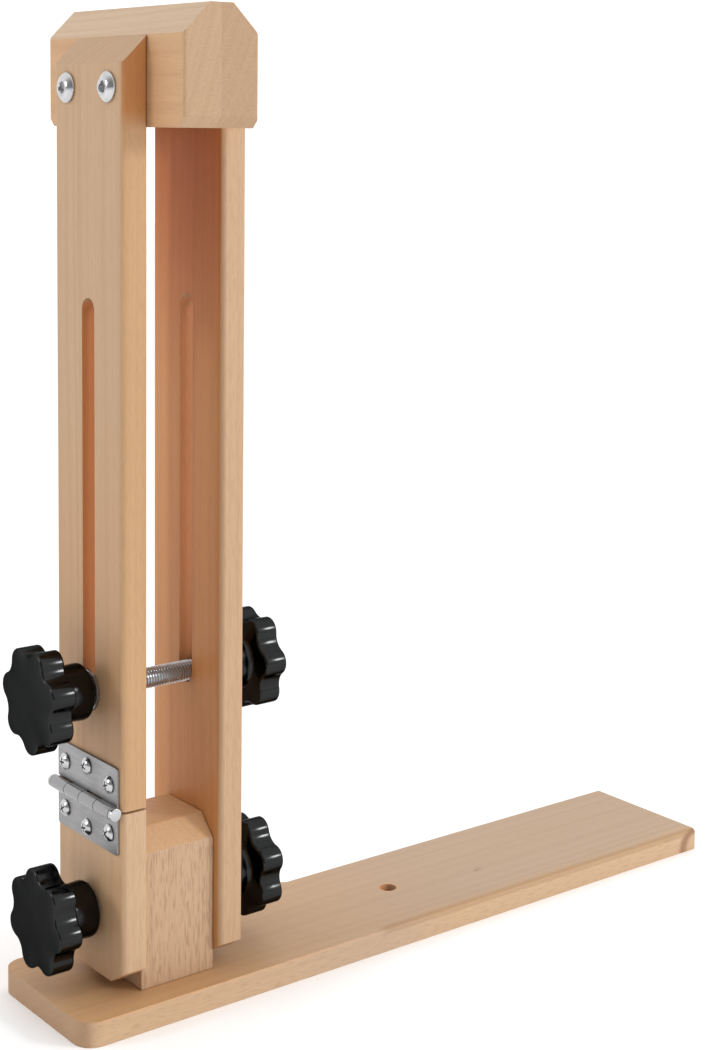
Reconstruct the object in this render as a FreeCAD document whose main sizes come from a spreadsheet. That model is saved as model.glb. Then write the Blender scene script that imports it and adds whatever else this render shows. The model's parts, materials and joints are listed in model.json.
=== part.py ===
"""Leather stitching clamp on a seat board: two tall beech boards with jaws, a swivelling post and star knobs.

Row frame: +Z up, +X along the base board towards its free end, origin under the middle of the whole object.
The left side of the clamp is the -X side, where the hinged board swings away.
"""

import FreeCAD
import Part
import Sketcher

import os
import re

from FreeCAD import Placement, Rotation, Vector

# Driving dimensions in millimetres, and in degrees where the name ends in angle or phase.
SIZES = {
    # base board
    "post_axis": -139.5,
    "base_length": 403.5,
    "base_width": 80,
    "base_thickness": 12,
    "base_overhang": 59,
    "base_corner": 10,
    "round_over": 3,
    "round_over_start": 111,
    "cutter_shy": 0.3,
    "cutter_outside": 5,
    "bolt_hole": 9,
    "spare_hole_offset": 148,
    "recess_diameter": 17,
    "recess_depth": 6.6,
    "hole_ease": 0.6,
    # post
    "throat": 40,
    "post_width": 50,
    "post_top": 87,
    "post_chamfer": 10,
    "running_gap": 0.05,
    "rod_bore": 10.1,
    "insert_outer": 12,
    "post_insert_length": 20,
    # boards
    "board_thickness": 13,
    "board_width": 60,
    "board_bottom": 18,
    "toe_width": 11,
    "toe_height": 7,
    "edge_ease": 1.2,
    "hinge_height": 101.5,
    "hinge_gap": 1,
    "gap_round": 2.5,
    "slot_width": 11,
    "slot_top": 335,
    "fixed_slot_bottom": 147,
    "swing_slot_bottom": 143.5,
    "pivot_height": 47.5,
    "rod_height": 152.5,
    # jaw blocks
    "jaw_length": 118,
    "jaw_top": 467,
    "jaw_bottom": 412.5,
    "jaw_flat": 6,
    "bevel_angle": 44.5,
    "jaw_chamfer": 5,
    "jaw_corner": 2.5,
    "jaw_meeting_gap": 0.05,
    "jaw_bolt_height": 430,
    "jaw_bolt_spacing": 36,
    "jaw_insert_length": 13,
    # M8 button-head bolts
    "bolt_shank": 8,
    "bolt_head": 14,
    "bolt_head_height": 3.2,
    "bolt_head_rim": 1.1,
    "bolt_socket": 5,
    "bolt_socket_depth": 2.4,
    "jaw_bolt_length": 25,
    "post_bolt_length": 30,
    "bolt_washer": 16,
    "bolt_washer_thickness": 1.6,
    # butt hinge
    "leaf_length": 54,
    "leaf_reach": 20.5,
    "leaf_thickness": 1.3,
    "leaf_corner": 1.5,
    "barrel": 6.3,
    "pin": 3.4,
    "pin_bore": 3.5,
    "pin_reach": 27.2,
    "pin_head": 6.2,
    "pin_head_thickness": 2.1,
    "knuckle_gap": 0.15,
    "barrel_clearance": 0.35,
    "screw_spacing": 20,
    "screw_row": 11.4,
    "screw_row_middle": 14.7,
    "screw_head": 8,
    "screw_head_height": 2.4,
    "screw_head_rim": 0.6,
    "screw_shank": 3.6,
    "screw_length": 11,
    "screw_slot_width": 0.9,
    "screw_slot_length": 4.4,
    "screw_slot_depth": 1.1,
    # threaded rods, washers and star knobs
    "rod": 10,
    "rod_length": 115,
    "rod_chamfer": 1,
    "washer": 20,
    "washer_thickness": 2,
    "washer_bore": 10.6,
    "knob": 50,
    "knob_height": 28,
    "knob_grip": 12.5,
    "knob_hub": 26,
    "knob_valley": 7,
    "knob_valley_reach": 27.6,
    "knob_lobe_round": 3.5,
    "knob_face_round": 1.5,
    "knob_insert": 14,
    "knob_insert_length": 24,
    "clamp_left_slack": 2.5,
    "clamp_right_slack": 0,
    "pivot_left_slack": 0,
    "pivot_right_slack": 0,
    "clamp_left_phase": 17,
    "clamp_right_phase": 97,
    "pivot_left_phase": 97,
    "pivot_right_phase": 80,
}
LOBES = 7
LEFT = -1
RIGHT = 1

doc = FreeCAD.newDocument("stitching_clamp")
sheet = doc.addObject("Spreadsheet::Sheet", "Dimensions")
for row, (alias, value) in enumerate(SIZES.items(), start=1):
    sheet.set(f"A{row}", alias)
    sheet.set(f"B{row}", str(value))
    sheet.setAlias(f"B{row}", alias)
doc.recompute()

NAMES = re.compile(r"[a-z][a-z0-9_]*")
parts = []


def sized(formula):
    """The formula with each driving dimension's name pointing at its cell in the sheet."""
    return NAMES.sub(lambda word: f"Dimensions.{word[0]}" if word[0] in SIZES else word[0], str(formula))


def bind(thing, **formulas):
    """Bind properties to formulas; a double underscore in a name stands for a dot."""
    for name, formula in formulas.items():
        thing.setExpression(name.replace("__", "."), sized(formula))


def part(thing, label):
    """Name a finished sub-part and list it for writing."""
    thing.Label = label
    parts.append(thing)
    return thing


def place(thing, x="post_axis", y=0, z=0, turn=None):
    """Put a thing in the row frame, turned first."""
    thing.Placement = Placement(Vector(), turn or Rotation())
    bind(thing, Placement__Base__x=x, Placement__Base__y=y, Placement__Base__z=z)
    return thing


# ---------------------------------------------------------------- sketches and features


def new_body(name):
    return doc.addObject("PartDesign::Body", name)


def plane(body, role):
    return next(item for item in body.Origin.OriginFeatures if item.Role == role)


def new_sketch(body, role, offset=0):
    """A sketch on one of the body's own planes, moved along the plane's normal."""
    sketch = body.newObject("Sketcher::SketchObject", body.Name + "_sketch")
    sketch.AttachmentSupport = [(plane(body, role), "")]
    sketch.MapMode = "FlatFace"
    bind(sketch, AttachmentOffset__Base__z=offset)
    return sketch


def fix_point(sketch, geometry, end, x, y):
    """Tie a point of the sketch to a place measured from the sketch's origin."""
    here = sketch.getPoint(geometry, end)
    for kind, start, formula in (("DistanceX", here.x, x), ("DistanceY", here.y, y)):
        index = sketch.addConstraint(Sketcher.Constraint(kind, -1, 1, geometry, end, start))
        sketch.setExpression(f"Constraints[{index}]", sized(formula))


def polygon(sketch, corners):
    """A closed outline through the corners, each given as two formulas."""
    count = len(corners)
    ring = [Rotation(Vector(0, 0, 1), 360 * i / count).multVec(Vector(50, 0, 0)) for i in range(count)]
    first = sketch.GeometryCount
    for i in range(count):
        sketch.addGeometry(Part.LineSegment(ring[i], ring[(i + 1) % count]), False)
    for i in range(count):
        sketch.addConstraint(Sketcher.Constraint("Coincident", first + i, 2, first + (i + 1) % count, 1))
    for i, (x, y) in enumerate(corners):
        fix_point(sketch, first + i, 1, x, y)


def circle(sketch, x, y, diameter):
    index = sketch.addGeometry(Part.Circle(Vector(0, 0, 0), Vector(0, 0, 1), 5), False)
    fix_point(sketch, index, 3, x, y)
    size = sketch.addConstraint(Sketcher.Constraint("Diameter", index, 10.0))
    sketch.setExpression(f"Constraints[{size}]", sized(diameter))


def pad(body, sketch, length, both_ways=False, backwards=False):
    feature = body.newObject("PartDesign::Pad", body.Name + "_pad")
    feature.Profile = sketch
    feature.Midplane = both_ways
    feature.Reversed = backwards
    bind(feature, Length=length)
    doc.recompute()
    return feature


def cut_away(body, make):
    """Add a cutting feature and stop if it removes nothing."""
    before = body.Shape.Volume
    feature = make()
    doc.recompute()
    if body.Shape.Volume > before - 0.01:
        raise RuntimeError(f"{feature.Label} cuts nothing")
    return feature


def pocket(body, sketch, depth=None, backwards=False):
    """A pocket of a given depth, or right through both ways where no depth is given."""

    def make():
        feature = body.newObject("PartDesign::Pocket", body.Name + "_pocket")
        feature.Profile = sketch
        if depth is None:
            feature.Type = "ThroughAll"
            feature.Midplane = True
        else:
            feature.Reversed = backwards
            bind(feature, Length=depth)
        return feature

    return cut_away(body, make)


def edges_where(feature, test):
    """Names of the feature's edges whose middle and direction pass the test."""
    names = []
    for number, edge in enumerate(feature.Shape.Edges, start=1):
        middle = edge.valueAt((edge.FirstParameter + edge.LastParameter) / 2)
        box = edge.BoundBox
        if test(middle, Vector(box.XLength, box.YLength, box.ZLength), edge):
            names.append(f"Edge{number}")
    return names


def dress(body, kind, size, test):
    """A fillet or chamfer on every edge of the body that passes the test."""
    base = body.Tip
    names = edges_where(base, test)
    if not names:
        raise RuntimeError(f"{body.Name}: no edge to dress")
    feature = body.newObject(f"PartDesign::{kind}", f"{body.Name}_{kind.lower()}")
    feature.Base = (base, names)
    bind(feature, **{"Radius" if kind == "Fillet" else "Size": size})
    doc.recompute()
    return feature


def is_upright(extent):
    return extent.z > 2 and extent.x < 0.01 and extent.y < 0.01


# ---------------------------------------------------------------- base board and post


def make_base_board():
    """Plank with a square-edged post end, then round-overs cut along both top edges to its free end."""
    body = new_body("base_board")
    outline = new_sketch(body, "XY_Plane")
    polygon(
        outline,
        [
            ("-base_overhang", "-base_width / 2"),
            ("base_length - base_overhang", "-base_width / 2"),
            ("base_length - base_overhang", "base_width / 2"),
            ("-base_overhang", "base_width / 2"),
        ],
    )
    pad(body, outline, "base_thickness")
    post_end = -SIZES["base_overhang"]
    dress(body, "Fillet", "base_corner", lambda p, d, e: is_upright(d) and abs(p.x - post_end) < 1)

    holes = new_sketch(body, "XY_Plane")
    circle(holes, 0, 0, "bolt_hole")
    circle(holes, "spare_hole_offset", 0, "bolt_hole")
    pocket(body, holes)
    recesses = new_sketch(body, "XY_Plane")
    circle(recesses, 0, 0, "recess_diameter")
    circle(recesses, "spare_hole_offset", 0, "recess_diameter")
    pocket(body, recesses, "recess_depth", backwards=True)
    rim = SIZES["base_thickness"]
    dress(
        body,
        "Fillet",
        "hole_ease",
        lambda p, d, e: abs(p.z - rim) < 0.01 and abs(d.x - SIZES["bolt_hole"]) < 0.01,
    )

    # The cutter runs along the edge outside the board, and starts on a round mark about its own axis.
    start = new_sketch(body, "YZ_Plane", "round_over_start")
    round_over_profile(start)
    axis = start.addGeometry(Part.LineSegment(Vector(45, 0, 0), Vector(45, 12, 0)), True)
    fix_point(start, axis, 1, "base_width / 2 + cutter_outside", 0)
    fix_point(start, axis, 2, "base_width / 2 + cutter_outside", "base_thickness")

    def turn_cutter():
        groove = body.newObject("PartDesign::Groove", "base_board_groove")
        groove.Profile = start
        groove.ReferenceAxis = (start, ["Axis0"])
        groove.Angle = 180
        groove.Reversed = True
        return groove

    entry = cut_away(body, turn_cutter)
    run = new_sketch(body, "YZ_Plane", "round_over_start")
    round_over_profile(run)
    along = pocket_along(body, run)

    def mirror():
        both = body.newObject("PartDesign::Mirrored", "base_board_mirrored")
        both.Originals = [along, entry]
        both.MirrorPlane = (plane(body, "XZ_Plane"), [""])
        body.Tip = both
        return both

    cut_away(body, mirror)
    dress(body, "Fillet", "hole_ease", lambda p, d, e: square_top_edge(p, d))
    return part(place(body), "base_board")


def square_top_edge(middle, extent):
    """The top edges of the post end, which stay square apart from a light sanding."""
    on_top = abs(middle.z - SIZES["base_thickness"]) < 0.01 and extent.z < 0.01
    return on_top and middle.x < -SIZES["base_overhang"] + 0.01 and extent.y > 20


def round_over_profile(sketch):
    """The wood outside the quarter round of the far top edge, the cutter set a little shy of the side."""
    side_line = "base_width / 2 + cutter_shy"
    radius = SIZES["round_over"]
    side = SIZES["base_width"] / 2 + SIZES["cutter_shy"]
    top = SIZES["base_thickness"]
    centre = Vector(side - radius, top - radius, 0)
    arc = sketch.addGeometry(Part.ArcOfCircle(Part.Circle(centre, Vector(0, 0, 1), radius), 0, 1.5708), False)
    corners = [
        Vector(side - radius, top, 0),
        Vector(side - radius, top + 2, 0),
        Vector(side + 2, top + 2, 0),
        Vector(side + 2, top - radius, 0),
        Vector(side, top - radius, 0),
    ]
    lines = [sketch.addGeometry(Part.LineSegment(a, b), False) for a, b in zip(corners, corners[1:])]
    across = sketch.addConstraint(Sketcher.Constraint("DistanceX", -1, 1, arc, 3, side - radius))
    sketch.setExpression(f"Constraints[{across}]", sized(f"{side_line} - round_over"))
    fix_point(sketch, lines[0], 1, f"{side_line} - round_over", "base_thickness")
    fix_point(sketch, lines[1], 1, f"{side_line} - round_over", "base_thickness + 2")
    fix_point(sketch, lines[2], 1, f"{side_line} + 2", "base_thickness + 2")
    fix_point(sketch, lines[3], 1, f"{side_line} + 2", "base_thickness - round_over")
    fix_point(sketch, lines[3], 2, side_line, "base_thickness - round_over")
    for a, b in zip(lines, lines[1:]):
        sketch.addConstraint(Sketcher.Constraint("Coincident", a, 2, b, 1))
    sketch.addConstraint(Sketcher.Constraint("Coincident", arc, 2, lines[0], 1))
    sketch.addConstraint(Sketcher.Constraint("Coincident", arc, 1, lines[3], 2))


def pocket_along(body, sketch):
    """The straight run of the round-over, out through the free end."""

    def make():
        feature = body.newObject("PartDesign::Pocket", "base_board_run")
        feature.Profile = sketch
        feature.Reversed = True
        bind(feature, Length="base_length")
        return feature

    return cut_away(body, make)


def make_post_block():
    """Short block between the boards, its top chamfered on the two open sides."""
    body = new_body("post_block")
    outline = new_sketch(body, "YZ_Plane")
    polygon(
        outline,
        [
            ("-post_width / 2", "base_thickness"),
            ("post_width / 2", "base_thickness"),
            ("post_width / 2", "post_top - post_chamfer"),
            ("post_width / 2 - post_chamfer", "post_top"),
            ("post_chamfer - post_width / 2", "post_top"),
            ("-post_width / 2", "post_top - post_chamfer"),
        ],
    )
    pad(body, outline, "throat - 2 * running_gap", both_ways=True)
    pivot = new_sketch(body, "YZ_Plane")
    circle(pivot, 0, "pivot_height", "rod_bore")
    pocket(body, pivot)
    foot = new_sketch(body, "XY_Plane", "base_thickness")
    circle(foot, 0, 0, "insert_outer")
    pocket(body, foot, "post_insert_length + 4", backwards=True)
    dress(body, "Fillet", "hole_ease", lambda p, d, e: is_upright(d) and d.z > 50)
    return part(place(body), "post_block")


# ---------------------------------------------------------------- boards and jaw blocks


def board_edge_height(distance):
    """Height of the sloping jaw top at a distance from the middle plane of the jaws."""
    return f"(jaw_top - ({distance} - jaw_flat) * tan(bevel_angle * 1 deg))"


def board_blank(name, side, corners):
    """A board cut to an outline in the YZ plane, standing outside one face of the throat."""
    body = new_body(name)
    outline = new_sketch(body, "YZ_Plane", f"{side} * throat / 2")
    polygon(outline, corners)
    pad(body, outline, "board_thickness", backwards=side == LEFT)
    return body


def toe_corners():
    """The bottom of a board, its corners cut so that it can tilt over the base."""
    return [
        ("toe_width - board_width / 2", "board_bottom"),
        ("board_width / 2 - toe_width", "board_bottom"),
        ("board_width / 2", "board_bottom + toe_height"),
    ]


def cut_slot(body, bottom):
    """The round-ended slot that the clamp rod slides in."""
    straight = new_sketch(body, "YZ_Plane")
    polygon(
        straight,
        [
            ("-slot_width / 2", f"{bottom} + slot_width / 2"),
            ("slot_width / 2", f"{bottom} + slot_width / 2"),
            ("slot_width / 2", "slot_top - slot_width / 2"),
            ("-slot_width / 2", "slot_top - slot_width / 2"),
        ],
    )
    pocket(body, straight)
    ends = new_sketch(body, "YZ_Plane")
    circle(ends, 0, f"{bottom} + slot_width / 2", "slot_width")
    circle(ends, 0, "slot_top - slot_width / 2", "slot_width")
    pocket(body, ends)


def cut_top_bevel(body, side):
    """The slope that carries the jaw block's bevel on across the board's end grain."""
    inner = f"{side} * throat / 2"
    outer = f"{side} * (throat / 2 + board_thickness)"
    slope = new_sketch(body, "XZ_Plane")
    polygon(
        slope,
        [
            (inner, board_edge_height("throat / 2")),
            (outer, board_edge_height("(throat / 2 + board_thickness)")),
            (outer, board_edge_height("throat / 2")),
        ],
    )
    pocket(body, slope)


def cut_jaw_bolt_holes(body):
    holes = new_sketch(body, "YZ_Plane")
    for way in (LEFT, RIGHT):
        circle(holes, f"{way} * jaw_bolt_spacing / 2", "jaw_bolt_height", "bolt_shank + 0.4")
    pocket(body, holes)


def cut_pivot_hole(body):
    hole = new_sketch(body, "YZ_Plane")
    circle(hole, 0, "pivot_height", "rod_bore")
    pocket(body, hole)


def cut_screw_holes(body, way):
    """Pilot holes for the hinge screws, above (way 1) or below (way -1) the hinge."""
    holes = new_sketch(body, "YZ_Plane", "-(throat / 2 + board_thickness)")
    for y, z in screw_places(way):
        circle(holes, y, z, "screw_shank")
    pocket(body, holes, "screw_length", backwards=True)


def ease_long_edges(body):
    """Sand the four long corners of a board."""
    half = SIZES["board_width"] / 2
    dress(body, "Fillet", "edge_ease", lambda p, d, e: is_upright(d) and abs(abs(p.y) - half) < 0.01)


def make_fixed_jaw_board():
    top = board_edge_height("throat / 2")
    corners = toe_corners() + [("board_width / 2", top), ("-board_width / 2", top)]
    corners += [("-board_width / 2", "board_bottom + toe_height")]
    body = board_blank("fixed_jaw_board", RIGHT, corners)
    cut_slot(body, "fixed_slot_bottom")
    cut_top_bevel(body, RIGHT)
    cut_jaw_bolt_holes(body)
    cut_pivot_hole(body)
    ease_long_edges(body)
    return part(place(body), "fixed_jaw_board")


def make_hinge_foot_board():
    """The short board below the hinge, clamped to the post."""
    top = "hinge_height - hinge_gap / 2"
    corners = toe_corners() + [("board_width / 2", top), ("-board_width / 2", top)]
    corners += [("-board_width / 2", "board_bottom + toe_height")]
    body = board_blank("hinge_foot_board", LEFT, corners)
    cut_pivot_hole(body)
    cut_screw_holes(body, -1)
    ease_long_edges(body)
    return part(place(body), "hinge_foot_board")


def make_swing_jaw_board():
    """The long board above the hinge."""
    bottom = "hinge_height + hinge_gap / 2"
    top = board_edge_height("throat / 2")
    half = "board_width / 2"
    corners = [("-" + half, bottom), (half, bottom), (half, top), ("-" + half, top)]
    body = board_blank("swing_jaw_board", LEFT, corners)
    cut_slot(body, "swing_slot_bottom")
    cut_top_bevel(body, LEFT)
    cut_jaw_bolt_holes(body)
    cut_screw_holes(body, 1)
    low = SIZES["hinge_height"] + SIZES["hinge_gap"] / 2
    outer = -SIZES["throat"] / 2 - SIZES["board_thickness"]
    dress(body, "Fillet", "gap_round", lambda p, d, e: abs(p.z - low) < 0.01 and abs(p.x - outer) < 0.01)
    ease_long_edges(body)
    return part(place(body), "swing_jaw_board")


def make_jaw_block(label, side):
    """Cross-grained block whose face meets the other jaw, bevelled to a narrow flat on top."""
    body = new_body(label)
    meeting = f"{side} * jaw_meeting_gap"
    back = f"{side} * throat / 2"
    profile = new_sketch(body, "XZ_Plane")
    polygon(
        profile,
        [
            (meeting, "jaw_bottom"),
            (back, "jaw_bottom"),
            (back, board_edge_height("throat / 2")),
            (f"{side} * jaw_flat", "jaw_top"),
            (meeting, "jaw_top"),
        ],
    )
    pad(body, profile, "jaw_length", both_ways=True)
    end = SIZES["jaw_length"] / 2
    low = SIZES["jaw_bottom"]
    dress(
        body,
        "Chamfer",
        "jaw_chamfer",
        lambda p, d, e: abs(abs(p.y) - end) < 0.01 and abs(p.z - low) < 0.01,
    )
    behind = SIZES["throat"] / 2
    dress(
        body,
        "Fillet",
        "jaw_corner",
        lambda p, d, e: is_upright(d) and abs(abs(p.x) - behind) < 0.01 and abs(abs(p.y) - end) < 0.01,
    )
    holes = new_sketch(body, "YZ_Plane", back)
    for way in (LEFT, RIGHT):
        circle(holes, f"{way} * jaw_bolt_spacing / 2", "jaw_bolt_height", "insert_outer")
    pocket(body, holes, "jaw_insert_length + 1", backwards=side == LEFT)
    return part(place(body), label)


# ---------------------------------------------------------------- turned and bought-in pieces


def cylinder(diameter, height, z=0):
    """A plain cylinder along +Z."""
    thing = doc.addObject("Part::Cylinder", "cylinder")
    bind(thing, Radius=f"({diameter}) / 2", Height=height, Placement__Base__z=z)
    return thing


def joined(*things):
    thing = doc.addObject("Part::MultiFuse", "joined")
    thing.Shapes = list(things)
    return thing


def cut(base, *tools):
    """The base less the tools."""
    thing = doc.addObject("Part::Cut", "cut")
    thing.Base = base
    thing.Tool = tools[0] if len(tools) == 1 else joined(*tools)
    return thing


def domed_head(diameter, height, rim):
    """A shallow round head whose flat underside is at zero."""
    drop = f"({height} - {rim})"
    radius = f"(({diameter})^2 / 4 + {drop}^2) / (2 * {drop})"
    ball = doc.addObject("Part::Sphere", "ball")
    bind(ball, Radius=radius, Placement__Base__z=f"{height} - {radius}")
    head = doc.addObject("Part::Common", "head")
    head.Base = cylinder(diameter, height)
    head.Tool = ball
    return head


def outward(side):
    """The turn that points a piece's own +Z away from the clamp on that side."""
    return Rotation(Vector(0, 1, 0), side * 90)


def button_bolt(length):
    """Button-head bolt, head up, the underside of its head at zero."""
    shank = cylinder("bolt_shank", length, f"-({length})")
    socket = doc.addObject("Part::Prism", "socket")
    socket.Polygon = 6
    bind(
        socket,
        Circumradius="bolt_socket / sqrt(3)",
        Height="bolt_socket_depth + 1",
        Placement__Base__z="bolt_head_height - bolt_socket_depth",
    )
    head = domed_head("bolt_head", "bolt_head_height", "bolt_head_rim")
    return cut(joined(head, shank), socket)


def group(label, things):
    """Separate identical solids that share one node."""
    together = doc.addObject("Part::Compound", label)
    together.Links = things
    return part(together, label)


def make_jaw_bolts(label, side):
    bolts = []
    for way in (LEFT, RIGHT):
        bolts.append(
            place(
                button_bolt("jaw_bolt_length"),
                f"post_axis + {side} * (throat / 2 + board_thickness)",
                f"{way} * jaw_bolt_spacing / 2",
                "jaw_bolt_height",
                outward(side),
            )
        )
    return group(label, bolts)


def threaded_insert(length):
    """Sleeve nut with its mouth at zero and its body below."""
    return cut(
        cylinder("insert_outer", length, f"-({length})"),
        cylinder("bolt_shank + 0.1", f"{length} + 2", f"-({length}) - 1"),
    )


def make_jaw_inserts(label, side):
    inserts = []
    for way in (LEFT, RIGHT):
        inserts.append(
            place(
                threaded_insert("jaw_insert_length"),
                f"post_axis + {side} * throat / 2",
                f"{way} * jaw_bolt_spacing / 2",
                "jaw_bolt_height",
                outward(side),
            )
        )
    return group(label, inserts)


def make_post_fixings():
    """Insert, bolt and washer that hold the post to the base and let it swivel."""
    head_down = Rotation(Vector(1, 0, 0), 180)
    insert = threaded_insert("post_insert_length")
    part(place(insert, z="base_thickness", turn=head_down), "post_insert")
    bolt = button_bolt("post_bolt_length")
    seat = "recess_depth - bolt_washer_thickness"
    part(place(bolt, z=seat, turn=head_down), "post_bolt")
    ring = cut(
        cylinder("bolt_washer", "bolt_washer_thickness"),
        cylinder("bolt_shank + 0.4", "bolt_washer_thickness + 2", -1),
    )
    part(place(ring, z=seat), "post_washer")


# ---------------------------------------------------------------- hinge

BARREL_AXIS = "(post_axis - throat / 2 - board_thickness - barrel / 2)"
LEAF_FACE = "(post_axis - throat / 2 - board_thickness)"


def bar_along_y(diameter, low, high):
    """A round bar on the barrel's axis between two places along Y."""
    thing = doc.addObject("Part::Cylinder", "bar")
    thing.Placement = Placement(Vector(), Rotation(Vector(1, 0, 0), -90))
    bind(
        thing,
        Radius=f"({diameter}) / 2",
        Height=f"({high}) - ({low})",
        Placement__Base__x=BARREL_AXIS,
        Placement__Base__y=low,
        Placement__Base__z="hinge_height",
    )
    return thing


def knuckle_span(index, gap):
    """Both ends along Y of one of the four knuckles, counted from the near end."""
    low = f"leaf_length * ({index} / 4 - 0.5) + {gap}"
    high = f"leaf_length * (({index} + 1) / 4 - 0.5) - {gap}"
    return low, high


def screw_places(way):
    """The three screws of a leaf as (y, z) formulas, the middle one further from the barrel."""
    side_row = f"hinge_height + {way} * screw_row"
    middle_row = f"hinge_height + {way} * screw_row_middle"
    return [("-screw_spacing", side_row), ("0", middle_row), ("screw_spacing", side_row)]


def make_hinge_leaf(label, way, own_knuckles):
    """A leaf above (way 1) or below (way -1) the barrel with its two rolled knuckles."""
    plate = doc.addObject("Part::Box", "plate")
    bind(
        plate,
        Length="leaf_thickness",
        Width="leaf_length",
        Height="leaf_reach",
        Placement__Base__x=f"{LEAF_FACE} - leaf_thickness",
        Placement__Base__y="-leaf_length / 2",
        Placement__Base__z="hinge_height" if way > 0 else "hinge_height - leaf_reach",
    )
    doc.recompute()
    reach = SIZES["hinge_height"] + way * SIZES["leaf_reach"]
    soft = doc.addObject("Part::Fillet", "plate_corners")
    soft.Base = plate
    radius = SIZES["leaf_corner"]
    corners = edges_where(plate, lambda p, d, e: abs(p.z - reach) < 0.01 and d.x > 0.5 and d.y < 0.01)
    soft.Edges = [(int(name[4:]), radius, radius) for name in corners]
    own = [bar_along_y("barrel", *knuckle_span(i, "knuckle_gap / 2")) for i in own_knuckles]
    others = [i for i in range(4) if i not in own_knuckles]
    roomy = "barrel + 2 * barrel_clearance"
    room = [bar_along_y(roomy, *knuckle_span(i, "-knuckle_gap / 2")) for i in others]
    holes = []
    for y, z in screw_places(way):
        hole = cylinder("screw_shank + 0.6", "leaf_thickness + 2")
        holes.append(place(hole, f"{LEAF_FACE} + 1", y, z, outward(LEFT)))
    bore = bar_along_y("pin_bore", "-leaf_length", "leaf_length")
    return part(cut(joined(soft, *own), bore, *room, *holes), label)


def make_hinge_pin():
    """Pin with a flat head closed over each end of the barrel."""
    tip = "(pin_reach + pin_head_thickness)"
    shaft = bar_along_y("pin", "-pin_reach", "pin_reach")
    heads = [bar_along_y("pin_head", f"-{tip}", "-pin_reach"), bar_along_y("pin_head", "pin_reach", tip)]
    body = joined(shaft, *heads)
    doc.recompute()
    rounded = doc.addObject("Part::Fillet", "pin_heads")
    rounded.Base = body
    end = SIZES["pin_reach"] + SIZES["pin_head_thickness"]
    radius = SIZES["pin_head_thickness"] / 4
    names = edges_where(body, lambda p, d, e: abs(abs(p.y) - end) < 0.01 and d.y < 0.01)
    rounded.Edges = [(int(name[4:]), radius, radius) for name in names]
    return part(rounded, "hinge_pin")


def wood_screw():
    """Round-head cross-recess wood screw, the underside of its head at zero."""
    shank = cylinder("screw_shank", "screw_length", "-screw_length")
    head = domed_head("screw_head", "screw_head_height", "screw_head_rim")
    arms = []
    for turn in (45, 135):
        arm = doc.addObject("Part::Box", "recess")
        bind(arm, Length="screw_slot_length", Width="screw_slot_width", Height="screw_slot_depth + 1")
        arm.Placement = Placement(
            Rotation(Vector(0, 0, 1), turn).multVec(
                Vector(-SIZES["screw_slot_length"] / 2, -SIZES["screw_slot_width"] / 2, 0)
            )
            + Vector(0, 0, SIZES["screw_head_height"] - SIZES["screw_slot_depth"]),
            Rotation(Vector(0, 0, 1), turn),
        )
        arms.append(arm)
    return cut(joined(head, shank), *arms)


def make_hinge_screws(label, way):
    screws = []
    for y, z in screw_places(way):
        screws.append(place(wood_screw(), f"{LEAF_FACE} - leaf_thickness", y, z, outward(LEFT)))
    return group(label, screws)


# ---------------------------------------------------------------- rods, washers and knobs


def make_rod(label, height):
    body = new_body(label)
    section = new_sketch(body, "YZ_Plane")
    circle(section, 0, 0, "rod")
    pad(body, section, "rod_length", both_ways=True)
    dress(body, "Chamfer", "rod_chamfer", lambda p, d, e: d.x < 0.01)
    return part(place(body, z=height), label)


def make_washer(label, side, height):
    ring = cut(
        cylinder("washer", "washer_thickness"),
        cylinder("washer_bore", "washer_thickness + 2", -1),
    )
    where = f"post_axis + {side} * (throat / 2 + board_thickness)"
    return part(place(ring, where, 0, height, outward(side)), label)


def make_knob(label, side, height, phase, slack):
    """Star knob: a hub, a scalloped grip and a blind bore; the slack is its distance from the washer."""
    body = new_body(label)
    hub = new_sketch(body, "XY_Plane")
    circle(hub, 0, 0, "knob_hub")
    pad(body, hub, "knob_height - knob_grip / 2")
    disc = new_sketch(body, "XY_Plane", "knob_height - knob_grip")
    circle(disc, 0, 0, "knob")
    pad(body, disc, "knob_grip")
    scallop = new_sketch(body, "XY_Plane", "knob_height - knob_grip")
    circle(scallop, "knob_valley_reach", 0, "2 * knob_valley")
    valley = pocket(body, scallop, "knob_grip", backwards=True)

    def repeat():
        pattern = body.newObject("PartDesign::PolarPattern", label + "_pattern")
        pattern.Originals = [valley]
        pattern.Axis = (scallop, ["N_Axis"])
        pattern.Angle = 360
        pattern.Occurrences = LOBES
        body.Tip = pattern
        return pattern

    cut_away(body, repeat)
    dress(body, "Fillet", "knob_lobe_round", lambda p, d, e: is_upright(d) and p.x**2 + p.y**2 > 400)
    face = SIZES["knob_height"]
    back = SIZES["knob_height"] - SIZES["knob_grip"]
    dress(
        body,
        "Fillet",
        "knob_face_round",
        lambda p, d, e: d.z < 0.01 and (abs(p.z - face) < 0.01 or abs(p.z - back) < 0.01) and p.Length > 19,
    )
    bore = new_sketch(body, "XY_Plane")
    circle(bore, 0, 0, "knob_insert")
    pocket(body, bore, "knob_insert_length", backwards=True)
    where = f"post_axis + {side} * (throat / 2 + board_thickness + washer_thickness + {slack})"
    turn = outward(side).multiply(Rotation(Vector(0, 0, 1), knob_turn(side, SIZES[phase])))
    part(place(body, where, 0, height, turn), label)

    insert = cut(
        cylinder("knob_insert", "knob_insert_length"),
        cylinder("rod_bore", "knob_insert_length + 2", -1),
    )
    part(place(insert, where, 0, height, outward(side)), label + "_insert")


def knob_turn(side, phase):
    """Turn about the knob's own axis that puts a lobe at the phase, measured from -Y towards +Z."""
    half_lobe = 180 / LOBES
    own_angle = phase - 90 if side == LEFT else 90 - phase
    return own_angle * -side + half_lobe


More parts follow.
